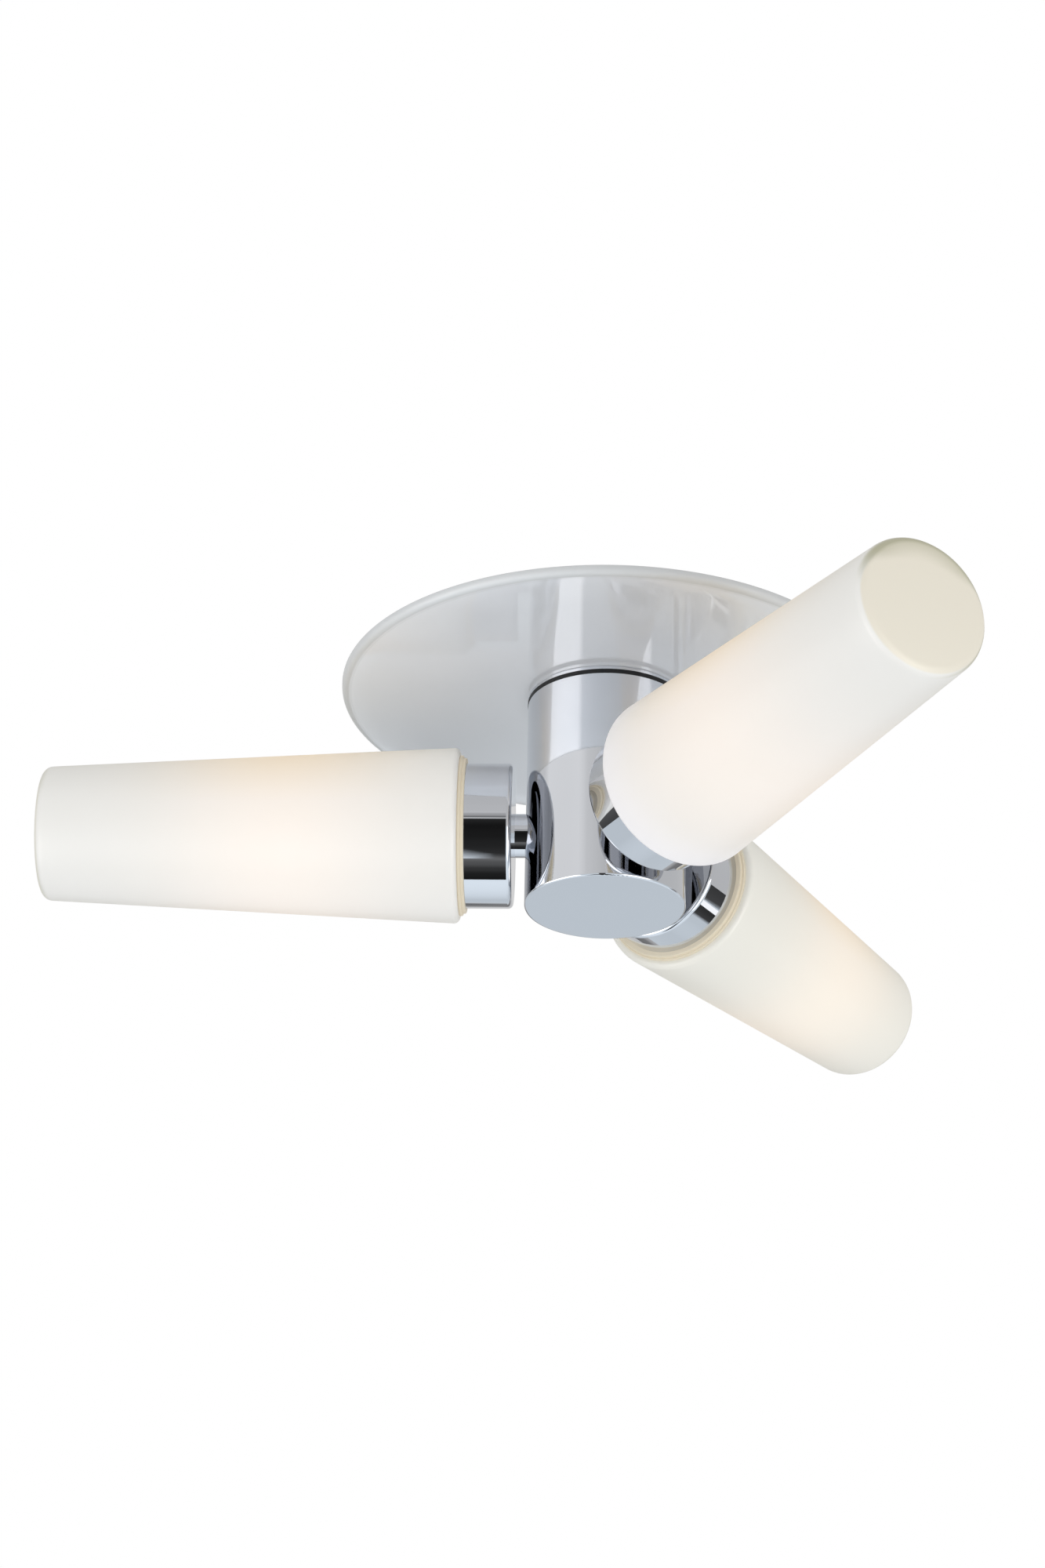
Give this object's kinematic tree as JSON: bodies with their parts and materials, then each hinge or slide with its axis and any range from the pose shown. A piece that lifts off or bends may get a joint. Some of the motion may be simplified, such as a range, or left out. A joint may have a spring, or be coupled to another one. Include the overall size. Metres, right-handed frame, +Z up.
{
  "type": "ceiling light",
  "caption": "Ceiling light with a round chromed plate, a cylindrical hub and tapered opal glass shades on short level arms.",
  "frame": {"origin": "centre of the ceiling plate's back, on the ceiling plane, midway between the two fixing slots", "axes": "+Z up into the ceiling, -X along the left arm, the other arms 120 degrees either side, +Y away from the viewer"},
  "size_m": [0.3381, 0.3882, 0.093],
  "materials": {
    "chromed_steel": "polished chrome plate",
    "zinc_plated_steel": "bright zinc",
    "black_steel": "blackened",
    "brass": "turned",
    "tinned_wire": "drawn",
    "black_rubber": "matt",
    "silicone": "soft matt",
    "opal_glass": "satin opal",
    "white_ceramic": "unglazed",
    "white_nylon": "moulded",
    "white_polycarbonate": "moulded",
    "frosted_polycarbonate": "frosted",
    "lead_insulation": "glass-fibre sleeve"
  },
  "bodies": {
    "fitting": {"backing_disc": "zinc_plated_steel", "ceiling_plate": "chromed_steel", "hub_collar": "chromed_steel", "collar_rivets": "zinc_plated_steel", "cable_grommet": "black_rubber", "hub_seal": "black_rubber", "hub_can": "chromed_steel", "hub_set_screws": "black_steel", "terminal_bracket": "zinc_plated_steel", "earth_screw": "brass", "terminal_block": "white_nylon", "terminal_sleeves": "brass", "terminal_screws": "zinc_plated_steel", "block_screw": "zinc_plated_steel", "arm_nipples": "zinc_plated_steel", "hub_nuts": "zinc_plated_steel", "cup_nuts": "zinc_plated_steel", "holder_screws": "zinc_plated_steel", "arm_spacer_left": "chromed_steel", "cup_left": "chromed_steel", "stirrup_left": "zinc_plated_steel", "lampholder_left": "white_ceramic", "leads_left": "lead_insulation", "arm_spacer_front": "chromed_steel", "cup_front": "chromed_steel", "stirrup_front": "zinc_plated_steel", "lampholder_front": "white_ceramic", "leads_front": "lead_insulation", "arm_spacer_back": "chromed_steel", "cup_back": "chromed_steel", "stirrup_back": "zinc_plated_steel", "lampholder_back": "white_ceramic", "leads_back": "lead_insulation"},
    "ring_left": {"seal_ring_left": "silicone"},
    "glass_left": {"shade_left": "opal_glass"},
    "lamp_left": {"lamp_pins_left": "tinned_wire", "lamp_base_left": "white_polycarbonate", "lamp_envelope_left": "frosted_polycarbonate"},
    "ring_front": {"seal_ring_front": "silicone"},
    "glass_front": {"shade_front": "opal_glass"},
    "lamp_front": {"lamp_pins_front": "tinned_wire", "lamp_base_front": "white_polycarbonate", "lamp_envelope_front": "frosted_polycarbonate"},
    "ring_back": {"seal_ring_back": "silicone"},
    "glass_back": {"shade_back": "opal_glass"},
    "lamp_back": {"lamp_pins_back": "tinned_wire", "lamp_base_back": "white_polycarbonate", "lamp_envelope_back": "frosted_polycarbonate"}
  },
  "joints": [
    {"name": "shade_lift_left", "type": "slide", "parent": "fitting", "child": "ring_left", "axis": [-1, 0, 0], "range_m": [0, 0.008]},
    {"name": "shade_turn_left", "type": "hinge", "parent": "ring_left", "child": "glass_left", "pos_m": [-0.0544, 0, -0.06], "axis": [-1, 0, 0], "range_deg": [0, 720]},
    {"name": "lamp_pull_left", "type": "slide", "parent": "fitting", "child": "lamp_left", "axis": [-1, 0, 0], "range_m": [0, 0.013]},
    {"name": "shade_lift_front", "type": "slide", "parent": "fitting", "child": "ring_front", "axis": [0.5, -0.866, 0], "range_m": [0, 0.008]},
    {"name": "shade_turn_front", "type": "hinge", "parent": "ring_front", "child": "glass_front", "pos_m": [0.0272, -0.04711, -0.06], "axis": [0.5, -0.866, 0], "range_deg": [0, 720]},
    {"name": "lamp_pull_front", "type": "slide", "parent": "fitting", "child": "lamp_front", "axis": [0.5, -0.866, 0], "range_m": [0, 0.013]},
    {"name": "shade_lift_back", "type": "slide", "parent": "fitting", "child": "ring_back", "axis": [0.5, 0.866, 0], "range_m": [0, 0.008]},
    {"name": "shade_turn_back", "type": "hinge", "parent": "ring_back", "child": "glass_back", "pos_m": [0.0272, 0.04711, -0.06], "axis": [0.5, 0.866, 0], "range_deg": [0, 720]},
    {"name": "lamp_pull_back", "type": "slide", "parent": "fitting", "child": "lamp_back", "axis": [0.5, 0.866, 0], "range_m": [0, 0.013]}
  ],
  "couplings": [
    {"joint": "shade_lift_left", "follows": "shade_turn_left", "m_per_rad": 0.00063662},
    {"joint": "shade_lift_front", "follows": "shade_turn_front", "m_per_rad": 0.00063662},
    {"joint": "shade_lift_back", "follows": "shade_turn_back", "m_per_rad": 0.00063662}
  ]
}
